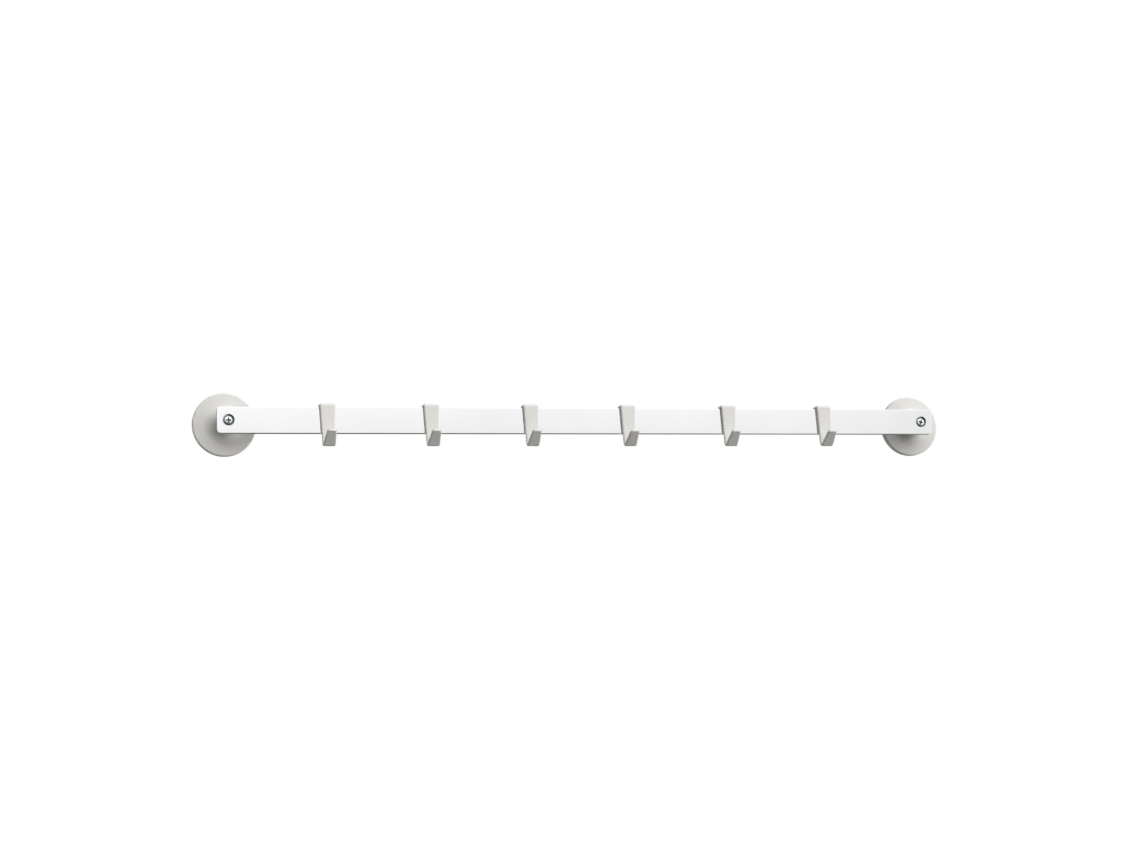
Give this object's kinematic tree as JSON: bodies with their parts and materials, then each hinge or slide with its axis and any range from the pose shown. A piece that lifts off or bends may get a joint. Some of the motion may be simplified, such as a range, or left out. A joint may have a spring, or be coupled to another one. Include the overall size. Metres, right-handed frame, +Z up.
{
  "type": "wall coat rail",
  "caption": "Wall-mounted coat rail: a flat polished bar held off the wall by round flared rosettes, with strap hooks that slide along it.",
  "frame": {"origin": "on the wall plane, midway between the two fixing holes", "axes": "+X along the bar to the right as seen from the room, +Y into the wall, +Z up"},
  "size_m": [0.76, 0.0938, 0.06],
  "materials": {
    "polished_bar": "polished chrome plate on a steel flat bar",
    "grey_lacquer": "satin light warm grey coating",
    "screw_zinc": "bright zinc plate",
    "inner_steel": "plain turned and stamped steel"
  },
  "bodies": {
    "rail": {"rail_bar": "polished_bar", "rosette_cover_left": "grey_lacquer", "spacer_sleeve_left": "inner_steel", "wall_plate_left": "inner_steel", "fixing_screw_left": "screw_zinc", "rosette_cover_right": "grey_lacquer", "spacer_sleeve_right": "inner_steel", "wall_plate_right": "inner_steel", "fixing_screw_right": "screw_zinc"},
    "hook_1_body": {"hook_1": "grey_lacquer"},
    "hook_2_body": {"hook_2": "grey_lacquer"},
    "hook_3_body": {"hook_3": "grey_lacquer"},
    "hook_4_body": {"hook_4": "grey_lacquer"},
    "hook_5_body": {"hook_5": "grey_lacquer"},
    "hook_6_body": {"hook_6": "grey_lacquer"}
  },
  "joints": [
    {"name": "hook_1_slide", "type": "slide", "parent": "rail", "child": "hook_1_body", "axis": [1, 0, 0], "range_m": [-0.0752, 0.0422]},
    {"name": "hook_2_slide", "type": "slide", "parent": "rail", "child": "hook_2_body", "axis": [1, 0, 0], "range_m": [-0.0422, 0.0412]},
    {"name": "hook_3_slide", "type": "slide", "parent": "rail", "child": "hook_3_body", "axis": [1, 0, 0], "range_m": [-0.0412, 0.0412]},
    {"name": "hook_4_slide", "type": "slide", "parent": "rail", "child": "hook_4_body", "axis": [1, 0, 0], "range_m": [-0.0412, 0.0442]},
    {"name": "hook_5_slide", "type": "slide", "parent": "rail", "child": "hook_5_body", "axis": [1, 0, 0], "range_m": [-0.0442, 0.0427]},
    {"name": "hook_6_slide", "type": "slide", "parent": "rail", "child": "hook_6_body", "axis": [1, 0, 0], "range_m": [-0.0427, 0.0882]}
  ]
}
